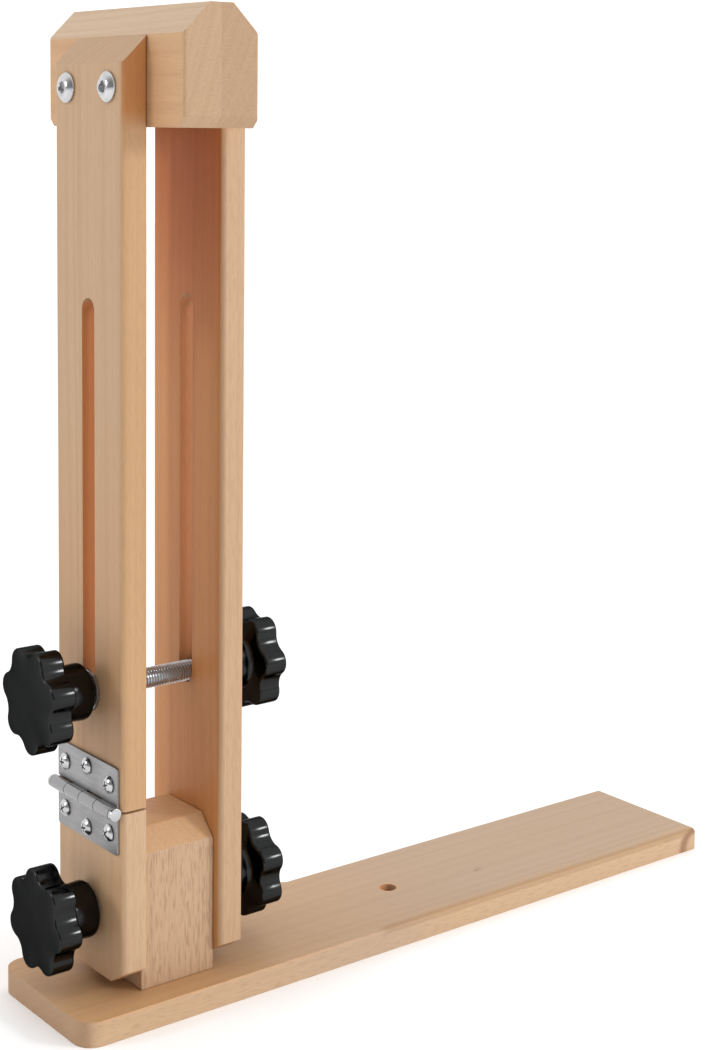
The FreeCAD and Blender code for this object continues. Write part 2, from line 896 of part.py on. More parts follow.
make_base_board()
make_post_block()
make_post_fixings()
make_fixed_jaw_board()
make_hinge_foot_board()
make_swing_jaw_board()
for name, way in (("fixed", RIGHT), ("swing", LEFT)):
    make_jaw_block(f"{name}_jaw_block", way)
    make_jaw_bolts(f"{name}_jaw_bolts", way)
    make_jaw_inserts(f"{name}_jaw_inserts", way)
make_hinge_leaf("hinge_leaf_upper", 1, (0, 2))
make_hinge_leaf("hinge_leaf_lower", -1, (1, 3))
make_hinge_pin()
make_hinge_screws("hinge_screws_upper", 1)
make_hinge_screws("hinge_screws_lower", -1)
for name, height in (("clamp", "rod_height"), ("pivot", "pivot_height")):
    make_rod(f"{name}_rod", height)
    for side_name, way in (("left", LEFT), ("right", RIGHT)):
        make_washer(f"{name}_washer_{side_name}", way, height)
        own = f"{name}_{side_name}"
        make_knob(f"{name}_knob_{side_name}", way, height, f"{own}_phase", f"{own}_slack")

doc.recompute()
for thing in doc.Objects:
    if "Invalid" in thing.State or "Error" in thing.State:
        raise RuntimeError(f"{thing.Label}: {thing.State}")
os.makedirs("parts", exist_ok=True)
for thing in parts:
    shape = thing.Shape
    if shape.isNull() or not shape.isValid():
        raise RuntimeError(f"{thing.Label} has no valid shape")
    shape.exportStep(f"parts/{thing.Label}.step")
    box = shape.BoundBox
    print(
        f"{thing.Label:22s} solids {len(shape.Solids)} volume {shape.Volume / 1000:8.2f} cm3 "
        f"x {box.XMin:7.1f} {box.XMax:7.1f}  y {box.YMin:6.1f} {box.YMax:6.1f}  "
        f"z {box.ZMin:6.1f} {box.ZMax:6.1f}"
    )
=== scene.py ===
"""Looks of the leather stitching clamp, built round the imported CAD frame.

Sizes are in millimetres and places count from the post's axis on the floor: X runs along the seat board to
its free end, Y away from the camera and Z up. TO_ROW turns them into the frame's metres.
"""

import json
import math

import bmesh
import bpy
import numpy as np
from mathutils import Matrix, Vector


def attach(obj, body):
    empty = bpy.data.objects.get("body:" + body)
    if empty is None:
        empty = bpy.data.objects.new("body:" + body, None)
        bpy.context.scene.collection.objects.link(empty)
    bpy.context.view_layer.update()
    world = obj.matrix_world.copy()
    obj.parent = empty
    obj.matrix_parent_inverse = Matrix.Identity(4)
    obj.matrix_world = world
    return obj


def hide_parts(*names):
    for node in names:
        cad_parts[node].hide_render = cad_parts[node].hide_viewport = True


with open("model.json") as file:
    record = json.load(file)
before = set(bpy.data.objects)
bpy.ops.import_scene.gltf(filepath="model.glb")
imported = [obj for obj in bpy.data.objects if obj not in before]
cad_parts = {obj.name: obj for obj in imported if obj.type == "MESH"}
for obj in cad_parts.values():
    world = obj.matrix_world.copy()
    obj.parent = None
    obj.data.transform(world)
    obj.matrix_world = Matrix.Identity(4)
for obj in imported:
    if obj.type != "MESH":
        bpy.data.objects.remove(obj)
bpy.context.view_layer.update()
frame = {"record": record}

MM = 0.001
POST = -139.5
TO_ROW = Matrix.Scale(MM, 4) @ Matrix.Translation((POST, 0, 0))
LEFT, RIGHT = -1, 1

# the seat board and the post
BASE_HALF = 40.0
BASE_TOP = 12.0
BASE_FREE_END = 344.5
BASE_POST_END = -59.0
BASE_CORNER = 10.0
SPARE_HOLE = 148.0
POST_HALF = 25.0
POST_SIDE = 19.95
POST_TOP = 87.0
POST_CHAMFER = 10.0

# the boards: where their inner and outer sides stand, and their toes, slots and screws
BOARD_IN = 20.0
BOARD_OUT = 33.0
BOARD_HALF = 30.0
BOARD_LOW = 18.0
TOE_HALF = 19.0
TOE_TOP = 25.0
SLOT_HALF = 5.5
SLOT_TOP = 335.0
SLOT_LOW = {RIGHT: 147.0, LEFT: 143.5}
SAW_CUT_HALF = 0.5
# radii of the long edges, on the throat's side and on the outer side
EDGE_ROUND = {RIGHT: (3.0, 1.2), LEFT: (1.2, 2.4)}
PILOT, PILOT_DEPTH = 1.8, 11.0

# the jaws and their bolts
JAW_LOW = 412.5
JAW_TOP = 467.0
JAW_HALF = 59.0
JAW_CROWN = 6.0
JAW_SLOPE = math.tan(math.radians(44.5))
BOLT_Z = 430.0
BOLT_Y = (-18.0, 18.0)
BOLT_HOLE = 4.2
SLEEVE = 6.0
SLEEVE_BORE = 4.05

# the rods, their washers and the knobs; the upper left knob stands off its washer by the slack
PIVOT_Z = 47.5
ROD_Z = 152.5
ROD_LENGTH = 115.0
ROD_BORE = 5.05
WASHER = 10.0
WASHER_BORE = 5.3
WASHER_THICK = 2.0
CLAMP_SLACK = 2.5
KNOB_INSERT = 7.0
KNOB_BORE_DEPTH = 24.0

# the hinge: barrel, leaves and knuckles
HINGE_Z = 101.5
BARREL_X = -36.15
LEAF_HALF = 27.0
LEAF_WIDTH = 20.5
LEAF_OUT = 34.3
KNUCKLES = 4
UPPER_SCREWS = [(-20, HINGE_Z + 11.4), (0, HINGE_Z + 14.7), (20, HINGE_Z + 11.4)]
LOWER_SCREWS = [(y, 2 * HINGE_Z - z) for y, z in UPPER_SCREWS]

# ------------------------------------------------------------------ mesh tools


def mesh_object(name, points, faces):
    mesh = bpy.data.meshes.new(name)
    mesh.from_pydata([tuple(p) for p in points], [], faces)
    mesh.update()
    thing = bpy.data.objects.new(name, mesh)
    bpy.context.scene.collection.objects.link(thing)
    return thing


def tidy_normals(thing):
    """Turn every face outwards."""
    bm = bmesh.new()
    bm.from_mesh(thing.data)
    bmesh.ops.recalc_face_normals(bm, faces=bm.faces)
    bm.to_mesh(thing.data)
    bm.free()


def along(axis, u, v, w):
    """A point from its place in the plane across an axis and its place along it."""
    return {"X": (w, u, v), "Y": (u, w, v), "Z": (u, v, w)}[axis]


def prism(outline, axis, low, high, name="tool"):
    """An outline swept along an axis."""
    count = len(outline)
    points = [along(axis, u, v, w) for w in (low, high) for u, v in outline]
    faces = [tuple(range(count)), tuple(range(2 * count - 1, count - 1, -1))]
    faces += [(i, (i + 1) % count, count + (i + 1) % count, count + i) for i in range(count)]
    thing = mesh_object(name, points, faces)
    tidy_normals(thing)
    return thing


def ring(u, v, radius, count=48, start=0.0, sweep=360.0):
    """Points on a circle, or on an arc where the sweep is less than a full turn."""
    steps = count if abs(sweep) >= 360 else count - 1
    angles = [math.radians(start + sweep * i / steps) for i in range(count)]
    return [(u + radius * math.cos(a), v + radius * math.sin(a)) for a in angles]


def bar(axis, u, v, radius, low, high, count=48, name="tool"):
    return prism(ring(u, v, radius, count), axis, low, high, name)


def applied(thing):
    """Replace the mesh by what its modifiers make of it."""
    bpy.context.view_layer.update()
    graph = bpy.context.evaluated_depsgraph_get()
    mesh = bpy.data.meshes.new_from_object(thing.evaluated_get(graph), depsgraph=graph)
    old = thing.data
    thing.modifiers.clear()
    thing.data = mesh
    bpy.data.meshes.remove(old)
    return thing


def combine(thing, tools, kind="DIFFERENCE"):
    """Cut the tools from a piece, or join them to it."""
    for tool in tools:
        step = thing.modifiers.new("combine", "BOOLEAN")
        step.operation = kind
        step.solver = "EXACT"
        step.object = tool
    applied(thing)
    for tool in tools:
        bpy.data.objects.remove(tool)
    return thing


def round_edges(thing, radius, test):
    """Round the edges whose two ends pass the test."""
    bm = bmesh.new()
    bm.from_mesh(thing.data)
    chosen = [e for e in bm.edges if test(*[v.co for v in e.verts])]
    bmesh.ops.bevel(bm, geom=chosen, offset=radius, segments=5, profile=0.5, affect="EDGES")
    bm.to_mesh(thing.data)
    bm.free()
    return thing


def soften(thing, radius, segments=3, angle=28.0, keep=None):
    """Ease every sharp edge apart from those to keep, and shade the flats flat."""
    bm = bmesh.new()
    bm.from_mesh(thing.data)
    eased = bm.edges.layers.float.new("bevel_weight_edge")
    for edge in bm.edges:
        sharp = len(edge.link_faces) == 2 and edge.calc_face_angle() > math.radians(angle)
        kept = keep is not None and keep(*[v.co for v in edge.verts])
        edge[eased] = 1.0 if sharp and not kept else 0.0
        edge.smooth = not (sharp and kept)
    bm.to_mesh(thing.data)
    bm.free()
    step = thing.modifiers.new("ease", "BEVEL")
    step.width = radius
    step.segments = segments
    step.limit_method = "WEIGHT"
    step.use_clamp_overlap = True
    step.harden_normals = False
    for face in thing.data.polygons:
        face.use_smooth = True
    weight = thing.modifiers.new("weight", "WEIGHTED_NORMAL")
    weight.weight = 80
    weight.keep_sharp = True
    return applied(thing)


def lathe(profile, count=64, name="turned"):
    """A profile of (radius, height) pairs turned about Z; radius 0 closes an end."""
    points, rows = [], []
    for radius, height in profile:
        if radius == 0:
            rows.append([len(points)])
            points.append((0, 0, height))
        else:
            rows.append(list(range(len(points), len(points) + count)))
            points += [(x, y, height) for x, y in ring(0, 0, radius, count)]
    faces = []
    for a, b in zip(rows, rows[1:]):
        for i in range(count):
            j = (i + 1) % count
            corners = [a[i % len(a)], a[j % len(a)], b[j % len(b)], b[i % len(b)]]
            faces.append(tuple(dict.fromkeys(corners)))
    faces = [f for f in faces if len(f) > 2]
    thing = mesh_object(name, points, faces)
    tidy_normals(thing)
    thing.data.shade_smooth()
    return thing


def outward(side):
    """The turn that points local +Z away from the clamp on that side."""
    return Matrix.Rotation(math.radians(90 * side), 4, "Y")


def merged(name, things):
    """One object of several."""
    bm = bmesh.new()
    for thing in things:
        copy = thing.data.copy()
        copy.transform(thing.matrix_world)
        bm.from_mesh(copy)
        bpy.data.meshes.remove(copy)
    for thing in things:
        bpy.data.objects.remove(thing)
    mesh = bpy.data.meshes.new(name)
    bm.to_mesh(mesh)
    bm.free()
    whole = bpy.data.objects.new(name, mesh)
    bpy.context.scene.collection.objects.link(whole)
    return whole


def sharp_by_angle(thing, angle=35.0):
    """Smooth shading, apart from edges sharper than the angle in degrees."""
    thing.data.shade_smooth()
    thing.data.set_sharp_from_angle(angle=math.radians(angle))
    return thing


BODY_OF = {n: b for b, ns in frame["record"]["behaviour"]["bodies"].items() for n in ns}


def stands_for(thing, node, material, place=None):
    """Put a piece where its CAD node is and let it stand for that node."""
    if place is not None:
        thing.data.transform(place)
    thing.data.transform(TO_ROW)
    thing.name = node + "_look"
    thing.data.name = thing.name
    thing.data.materials.clear()
    thing.data.materials.append(material)
    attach(thing, BODY_OF[node])
    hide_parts(node)
    return thing


# ------------------------------------------------------------------ materials

GRAIN_TURN = {"Z": (0, 0, 0), "Y": (90, 0, 0), "X": (0, 90, 0)}
DIRECTION = {"X": (1, 0, 0), "Y": (0, 1, 0), "Z": (0, 0, 1)}


class Shader:
    """A small helper that adds nodes and links to one material."""

    def __init__(self, name):
        self.material = bpy.data.materials.new(name)
        self.material.use_nodes = True
        self.tree = self.material.node_tree
        self.tree.nodes.clear()
        self.surface = self.add("ShaderNodeBsdfPrincipled")
        out = self.add("ShaderNodeOutputMaterial")
        self.link(self.surface.outputs["BSDF"], out.inputs["Surface"])

    def add(self, kind, **values):
        node = self.tree.nodes.new(kind)
        for name, value in values.items():
            setattr(node, name, value)
        return node

    def link(self, source, target):
        self.tree.links.new(source, target)

    def feed(self, socket, value):
        """Link a socket, or set a plain value."""
        if isinstance(value, bpy.types.NodeSocket):
            self.link(value, socket)
        else:
            socket.default_value = value

    def math(self, kind, a, b=0.0):
        node = self.add("ShaderNodeMath", operation=kind)
        self.feed(node.inputs[0], a)
        self.feed(node.inputs[1], b)
        return node.outputs[0]

    def product(self, first, *others):
        for other in others:
            first = self.math("MULTIPLY", first, other)
        return first

    def swing(self, value, width):
        """A noise value made to swing about zero."""
        return self.product(self.math("SUBTRACT", value, 0.5), width)

    def place(self, scale, turn=(0, 0, 0), shift=(0, 0, 0), source=None):
        """Object coordinates, moved, turned and scaled."""
        if source is None:
            source = self.add("ShaderNodeTexCoord").outputs["Object"]
        node = self.add("ShaderNodeMapping")
        self.link(source, node.inputs["Vector"])
        node.inputs["Location"].default_value = shift
        node.inputs["Rotation"].default_value = [math.radians(a) for a in turn]
        node.inputs["Scale"].default_value = scale
        return node.outputs["Vector"]

    def where(self):
        """X, Y and Z on the object, in metres."""
        split = self.add("ShaderNodeSeparateXYZ")
        self.link(self.add("ShaderNodeTexCoord").outputs["Object"], split.inputs[0])
        return tuple(split.outputs)

    def length(self, vector):
        node = self.add("ShaderNodeVectorMath", operation="LENGTH")
        self.link(vector, node.inputs[0])
        return node.outputs["Value"]

    def distance(self, *offsets):
        """The length of the vector that has these offsets."""
        vector = self.add("ShaderNodeCombineXYZ")
        for socket, offset in zip(vector.inputs, offsets):
            self.feed(socket, offset)
        return self.length(vector.outputs[0])

    def facing(self, axis):
        """How squarely the surface faces along an axis, either way, from 0 to 1."""
        dot = self.add("ShaderNodeVectorMath", operation="DOT_PRODUCT")
        self.link(self.add("ShaderNodeTexCoord").outputs["Normal"], dot.inputs[0])
        dot.inputs[1].default_value = DIRECTION[axis]
        return self.math("ABSOLUTE", dot.outputs["Value"])

    def noise(self, scale, detail=3.0, roughness=0.5, source=None):
        """Noise with a scale for each axis, on object coordinates or on a source."""
        node = self.add("ShaderNodeTexNoise")
        self.link(self.place(scale, source=source), node.inputs["Vector"])
        node.inputs["Scale"].default_value = 1.0
        node.inputs["Detail"].default_value = detail
        node.inputs["Roughness"].default_value = roughness
        return node.outputs["Fac"]

    def levels(self, value, low, high, to_low=0.0, to_high=1.0):
        """A smooth step between two levels, which may run downwards."""
        node = self.add("ShaderNodeMapRange", interpolation_type="SMOOTHSTEP")
        self.feed(node.inputs["Value"], value)
        for name, number in (("From Min", low), ("From Max", high), ("To Min", to_low), ("To Max", to_high)):
            self.feed(node.inputs[name], number)
        return node.outputs["Result"]

    def mix(self, share, a, b, kind="MIX"):
        """Mix two colours, each an output or three linear numbers."""
        node = self.add("ShaderNodeMix", data_type="RGBA", blend_type=kind)
        self.feed(node.inputs["Factor"], share)
        for socket, value in ((node.inputs[6], a), (node.inputs[7], b)):
            self.feed(socket, (*value, 1.0) if isinstance(value, tuple) else value)
        return node.outputs[2]

    def tint(self, share, colour, tint):
        """Multiply a colour by a tint, as far as the share says."""
        return self.mix(share, colour, self.mix(1.0, colour, tint, "MULTIPLY"))

    def bump(self, height, distance, strength):
        node = self.add("ShaderNodeBump")
        self.link(height, node.inputs["Height"])
        node.inputs["Distance"].default_value = distance
        node.inputs["Strength"].default_value = strength
        self.link(node.outputs["Normal"], self.surface.inputs["Normal"])


def shaded(colour, factors):
    return tuple(c * f for c, f in zip(colour, factors))


def growth_rings(s, turned, pith):
    """Bands that follow the distance from the pith, with a slow wander along the board."""
    wander = s.noise((6, 6, 1.6), 2.0, source=turned)
    offset = s.add("ShaderNodeVectorMath", operation="MULTIPLY_ADD")
    s.link(turned, offset.inputs[0])
    offset.inputs[1].default_value = (1, 1, 0)
    offset.inputs[2].default_value = (*pith, 0)
    wavy = s.math("ADD", s.length(offset.outputs[0]), s.product(wander, 0.018))
    bands = s.add("ShaderNodeTexNoise", noise_dimensions="1D")
    s.link(s.product(wavy, 360.0), bands.inputs["W"])
    bands.inputs["Scale"].default_value = 1.0
    bands.inputs["Detail"].default_value = 3.0
    return s.levels(bands.outputs["Fac"], 0.3, 0.7)


def painted_throat_shade(s, colour, throat_shade):
    """Painted shade with warm bounce light in the throat, beside the jaws and in the slots: a deeper colour,
    as in the photograph.
    """
    x, y, z = s.where()
    gap = s.math("ABSOLUTE", s.math("SUBTRACT", x, POST * MM))
    at_side, past_side = (BOARD_IN + 0.1) * MM, (BOARD_IN + 0.6) * MM
    # painted shade with orange bounce light on the sides that face the throat
    within = s.levels(gap, past_side, at_side)
    colour = s.tint(within, colour, throat_shade)
    # painted shade, deeper up towards the jaw
    high = s.product(within, s.levels(z, 0.27, 0.41))
    colour = s.tint(high, colour, (0.86, 0.52, 0.20))
    # painted shade, deeper towards the front edge
    near = s.product(within, s.levels(y, 0.012, -0.02))
    colour = s.tint(near, colour, (0.88, 0.86, 0.83))
    # painted shadow of the jaw on the narrow sides where they pass it
    jaw_shadow = s.levels(z, (JAW_LOW - 3.5) * MM, (JAW_LOW + 9.5) * MM)
    jaw_shadow = s.product(jaw_shadow, s.levels(s.facing("Y"), 0.4, 0.9))
    colour = s.tint(jaw_shadow, colour, (0.94, 0.68, 0.46))
    # painted shade on the sides of the long slot
    in_slot = s.levels(s.math("ABSOLUTE", y), (SLOT_HALF + 1.1) * MM, (SLOT_HALF + 0.3) * MM)
    slot_shade = s.product(in_slot, s.levels(gap, at_side, past_side), s.levels(s.facing("X"), 0.8, 0.4))
    return s.tint(slot_shade, colour, (1.06, 0.74, 0.52))


def beech(
    name, grain, light, dark, seed, pith=(0.09, 0.05), flecks=0.1, streaks=0.5, edge=None, throat_shade=None,
    end=(1, 1, 1), face=None, extra=None,
):
    """Beech with growth rings about a far pith, fine fibres and short ray flecks along the grain.

    Colours are linear. The grain runs along the named axis and pith is where the pith stands across it.
    Four tints multiply the colour: edge, painted light, on the narrow sides that face along Y; face, a
    painted warm shade, on the sides that face along X; the throat tint, painted shade with warm bounce light,
    on the sides that face the throat; and end on the end grain. extra(s, colour) adds marks that only one
    piece has.
    """
    s = Shader(name)
    turned = s.place((1, 1, 1), GRAIN_TURN[grain], (seed * 0.37, seed * 0.21, seed * 0.13))
    bands = growth_rings(s, turned, pith)
    fibres = s.noise((1700, 1700, 16), 2.0, 0.6, turned)
    lines = s.noise((420, 420, 3), 3.0, 0.6, turned)
    blotch = s.noise((20, 20, 4), source=turned)
    # short lens-shaped rays
    rays = s.levels(s.noise((1500, 1500, 150), 1.5, 0.45, turned), 0.49, 0.66)

    mixed = s.product(bands, 0.5 * streaks)
    mixed = s.math("ADD", mixed, s.product(blotch, 0.4))
    mixed = s.math("ADD", mixed, s.swing(lines, 0.7 * streaks))
    mixed = s.math("ADD", mixed, s.swing(fibres, 0.45))
    colour = s.mix(s.levels(mixed, 0.0, 0.85), light, dark)
    if extra:
        colour = extra(s, colour)
    colour = s.mix(s.product(rays, flecks), colour, shaded(dark, (0.62, 0.5, 0.42)))

    # painted light on the narrow sides that face along Y; the ray flecks there are the wood's own
    if edge:
        narrow = s.levels(s.facing("Y"), 0.4, 0.9)
        colour = s.tint(narrow, colour, edge)
        colour = s.mix(s.product(narrow, rays, 0.3), colour, dark)
    # painted warm shade on the sides that face along X
    if face:
        colour = s.tint(s.levels(s.facing("X"), 0.8, 0.95), colour, face)
    # painted shade with warm bounce light in the throat
    if throat_shade:
        colour = painted_throat_shade(s, colour, throat_shade)

    # end grain is darker and more speckled, and the rings show more
    ends = s.levels(s.facing(grain), 0.35, 0.85)
    pores = s.levels(s.noise((1500, 1500, 300), 2.0, 0.7, turned), 0.38, 0.68)
    share = s.math("ADD", s.product(bands, 0.16), s.product(pores, 0.45))
    end_light = shaded(shaded(light, (0.96, 0.94, 0.90)), end)
    end_dark = shaded(shaded(dark, (0.86, 0.80, 0.74)), end)
    colour = s.mix(ends, colour, s.mix(share, end_light, end_dark))
    s.link(colour, s.surface.inputs["Base Color"])

    s.link(s.levels(mixed, 0.0, 1.0, 0.50, 0.60), s.surface.inputs["Roughness"])
    s.surface.inputs["Specular IOR Level"].default_value = 0.4
    relief = s.math("SUBTRACT", s.product(fibres, 0.5), s.product(rays, flecks))
    s.bump(relief, 0.00008, 0.35)
    return s.material


def base_marks(s, colour):
    """The seat board's own marks, each placed in metres in the frame."""
    x, y, z = s.where()
    # pale brown heartwood beside the near edge, and a browner band along the middle
    drift = s.noise((9, 30, 30))
    line = s.math("ADD", y, s.swing(drift, 0.012))
    near = s.product(s.levels(line, -0.030, -0.0385), s.levels(x, -0.03, 0.03), 0.75)
    colour = s.mix(near, colour, (0.50, 0.315, 0.165))
    middle = s.product(s.levels(line, -0.026, -0.012), s.levels(line, 0.012, -0.012), 0.35)
    colour = s.mix(middle, colour, (0.40, 0.275, 0.175))
    # the post end is warmer, on the top more than on the sides
    top = s.levels(z, 0.0105, 0.0117)
    left = s.levels(x, 0.06, -0.16)
    colour = s.tint(s.product(left, top), colour, (1.2, 1.0, 0.73))
    colour = s.tint(s.product(left, s.math("SUBTRACT", 1.0, top)), colour, (1.14, 1.06, 0.89))
    # the shoulder of the round-over is browner
    shoulder = s.product(s.levels(z, 0.0086, 0.0100), s.levels(y, -0.0345, -0.0385))
    shoulder = s.product(shoulder, s.levels(x, -0.03, -0.022))
    colour = s.tint(shoulder, colour, (0.84, 0.78, 0.70))
    # painted warm light on the wall of the spare hole
    hole = s.distance(s.math("SUBTRACT", x, (POST + SPARE_HOLE) * MM), y)
    colour = s.tint(s.levels(hole, 0.0052, 0.0046), colour, (1.35, 0.92, 0.62))
    # a small knot, with a faint stain beside it
    for spot_x, spot_y, radius, share in ((0.0615, -0.0105, 0.0013, 0.75), (0.0640, -0.0100, 0.0030, 0.2)):
        gap = s.distance(s.math("SUBTRACT", x, spot_x), s.math("SUBTRACT", y, spot_y))
        colour = s.mix(s.product(s.levels(gap, radius, radius * 0.3), share), colour, (0.16, 0.07, 0.03))
    # a dark ring that crosses the near free corner
    reach = s.distance(
        s.product(s.math("SUBTRACT", x, 0.212), 0.42),
        s.math("SUBTRACT", y, -0.046),
        s.product(s.math("SUBTRACT", z, 0.002), 0.6),
    )
    wavy = s.math("ADD", reach, s.product(drift, 0.004))
    off = s.math("ABSOLUTE", s.math("SUBTRACT", wavy, 0.0115))
    return s.mix(s.product(s.levels(off, 0.0016, 0.0002), 0.85), colour, (0.24, 0.11, 0.05))


def warm_foot(s, colour):
    """The wide sides of the hinged board are warmer towards the hinge."""
    height = s.where()[2]
    share = s.product(s.levels(s.facing("X"), 0.8, 0.95), s.levels(height, 0.32, 0.16))
    return s.tint(share, colour, (0.97, 0.88, 0.78))


def plastic(name):
    """Glossy black plastic, stood for by a dark metal whose dim edge tint keeps its slanting sides black."""
    s = Shader(name)
    cloud = s.noise((60, 60, 60))
    s.link(s.mix(cloud, (0.025, 0.0255, 0.026), (0.033, 0.0335, 0.034)), s.surface.inputs["Base Color"])
    s.link(s.levels(cloud, 0.3, 0.7, 0.14, 0.19), s.surface.inputs["Roughness"])
    s.surface.inputs["Metallic"].default_value = 1.0
    s.surface.inputs["Specular Tint"].default_value = (0.42, 0.42, 0.42, 1)
    s.bump(s.noise((700, 700, 700), 2.0), 0.00003, 0.25)
    return s.material


def metal(name, tone, shade, rough, stretch=(300, 300, 300), barrel=None, metallic=1.0):
    """Metal that wanders between two colours; barrel colours what stands out past the hinge's leaves."""
    s = Shader(name)
    grain = s.noise(stretch, 4.0, 0.6)
    cloud = s.noise((45, 45, 45), 2.0)
    both = s.math("ADD", s.product(grain, 0.5), s.product(cloud, 0.5))
    colour = s.mix(s.levels(both, 0.3, 0.7), tone, shade)
    gloss = s.levels(both, 0.3, 0.7, *rough)
    if barrel:
        share = s.levels(s.where()[0], (POST - LEAF_OUT - 0.1) * MM, (POST - LEAF_OUT - 0.4) * MM)
        colour = s.mix(share, colour, barrel)
        gloss = s.math("SUBTRACT", gloss, s.product(share, 0.1))
    s.link(colour, s.surface.inputs["Base Color"])
    s.surface.inputs["Metallic"].default_value = metallic
    s.link(gloss, s.surface.inputs["Roughness"])
    s.bump(grain, 0.00002, 0.4)
    return s.material


# The throat tint is painted shade with warm bounce light; each edge tint is painted light on the narrow
# sides, and each face tint is painted warm shade on the jaws' sides that face along X.
THROAT_SHADE = (1.16, 0.88, 0.55)
BOARD = beech(
    "beech_boards", "Z", (0.485, 0.315, 0.185), (0.42, 0.258, 0.143), 1.0,
    edge=(1.07, 0.98, 0.83), throat_shade=THROAT_SHADE, extra=warm_foot,
)
BOARD_FIXED = beech(
    "beech_fixed_board", "Z", (0.50, 0.325, 0.193), (0.43, 0.262, 0.147), 2.3,
    edge=(1.04, 1.03, 1.03), throat_shade=THROAT_SHADE,
)
BOARD_FOOT = beech(
    "beech_foot_board", "Z", (0.548, 0.35, 0.198), (0.475, 0.286, 0.153), 7.7,
    edge=(1.0, 1.04, 1.12), throat_shade=THROAT_SHADE,
)
JAW_LEFT = beech(
    "beech_left_jaw", "Y", (0.565, 0.405, 0.262), (0.485, 0.33, 0.202), 3.1, (0.05, 0.07),
    end=(0.84, 0.785, 0.745), face=(0.98, 0.82, 0.66),
)
JAW_RIGHT = beech(
    "beech_right_jaw", "Y", (0.52, 0.355, 0.225), (0.43, 0.28, 0.165), 4.7, (-0.03, 0.05),
    end=(0.86, 0.81, 0.78), face=(0.98, 0.86, 0.72),
)
POST_WOOD = beech(
    "beech_post", "Z", (0.53, 0.35, 0.218), (0.46, 0.29, 0.172), 5.2,
    flecks=0.46, end=(1.2, 1.12, 0.94),
)
BASE = beech(
    "beech_base", "X", (0.44, 0.303, 0.198), (0.377, 0.252, 0.158), 6.4, (0.05, 0.12),
    flecks=0.08, streaks=0.45, edge=(1.17, 1.22, 1.34), end=(0.98, 0.90, 0.82), extra=base_marks,
)
BLACK = plastic("black_plastic")
STEEL = metal("bright_steel", (0.60, 0.60, 0.61), (0.46, 0.46, 0.47), (0.14, 0.24))
ZINC = metal("zinc_thread", (0.50, 0.51, 0.515), (0.33, 0.34, 0.35), (0.18, 0.28), metallic=0.86)
HINGE = metal(
    "hinge_steel", (0.34, 0.335, 0.335), (0.27, 0.265, 0.27), (0.3, 0.42), (900, 60, 900),
    barrel=(0.31, 0.305, 0.31),
)
BRASS = metal("insert_brass", (0.70, 0.52, 0.24), (0.55, 0.38, 0.16), (0.25, 0.4))

# ------------------------------------------------------------------ base board and post


def round_over(way):
    """A cutter that rounds a long top edge from the free end back to a quarter-round entry.

    The entry turns about an axis 5 mm outside the edge.
    """
    radius, entry, axis = 3.0, 111.0, BASE_HALF + 5
    inner, low, outer, high = 37.3, 9.0, 43.0, 14.0
    turns = np.linspace(0, math.pi / 2, 9)
    section = [(inner + radius * math.sin(a), low + radius * math.cos(a)) for a in turns]
    section += [(outer, low), (outer, high), (inner, high)]
    rows = []
    for a in np.linspace(math.pi, math.pi / 2, 17):
        c, s = math.cos(a), math.sin(a)
        rows.append([(entry + (axis - y) * c, way * (axis - (axis - y) * s), z) for y, z in section])
    rows.append([(BASE_FREE_END + 2.5, way * y, z) for y, z in section])
    count = len(section)
    points = [p for row in rows for p in row]
    faces = [tuple(range(count)), tuple(range(len(points) - 1, len(points) - count - 1, -1))]
    for r in range(len(rows) - 1):
        for i in range(count):
            a, b = r * count + i, r * count + (i + 1) % count
            faces.append((a, b, b + count, a + count))
    tool = mesh_object("tool", points, faces)
    tidy_normals(tool)
    return tool


def base_board():
    corner_x, corner_y = BASE_POST_END + BASE_CORNER, BASE_HALF - BASE_CORNER
    outline = [(BASE_FREE_END, -BASE_HALF), (BASE_FREE_END, BASE_HALF)]
    outline += ring(corner_x, corner_y, BASE_CORNER, 13, 90, 90)
    outline += ring(corner_x, -corner_y, BASE_CORNER, 13, 180, 90)
    board = prism(outline, "Z", 0, BASE_TOP, "base")
    hole, recess, recess_top = 4.5, 8.5, 6.6
    tools = []
    for x in (0, SPARE_HOLE):
        tools.append(bar("Z", x, 0, hole, -1, BASE_TOP + 1, 64))
        tools.append(bar("Z", x, 0, recess, -1, recess_top, 64))
    combine(board, tools)
    for way in (-1, 1):
        combine(board, [round_over(way)])
    soften(board, 0.6, 3, 34)
    stands_for(board, "base_board", BASE)


def post_block():
    shoulder, flat = POST_TOP - POST_CHAMFER, POST_HALF - POST_CHAMFER
    outline = [(-POST_HALF, BASE_TOP), (POST_HALF, BASE_TOP), (POST_HALF, shoulder)]
    outline += [(flat, POST_TOP), (-flat, POST_TOP), (-POST_HALF, shoulder)]
    block = prism(outline, "X", -POST_SIDE, POST_SIDE, "post")
    combine(block, [bar("X", 0, PIVOT_Z, ROD_BORE, -25, 25)])
    soften(block, 0.7)
    stands_for(block, "post_block", POST_WOOD)


# ------------------------------------------------------------------ boards and jaws


def slope_z(x):
    """Height of the slope that runs from the jaw's crown down over the top of a board."""
    return JAW_TOP - (abs(x) - JAW_CROWN) * JAW_SLOPE


def slot_tool(low):
    """A cutter for the long slot, with round ends."""
    outline = ring(0, SLOT_TOP - SLOT_HALF, SLOT_HALF, 25, 0, 180)
    outline += ring(0, low + SLOT_HALF, SLOT_HALF, 25, 180, 180)
    return prism(outline, "X", -40, 40)


def round_long_edges(piece, x, radius):
    """Round the two upright edges of a board in the plane at x."""

    def upright(a, b):
        on_plane = abs(a.x - x) + abs(b.x - x) + abs(a.y - b.y) < 0.03
        return on_plane and abs(a.y) > BOARD_HALF - 0.1

    round_edges(piece, radius, upright)


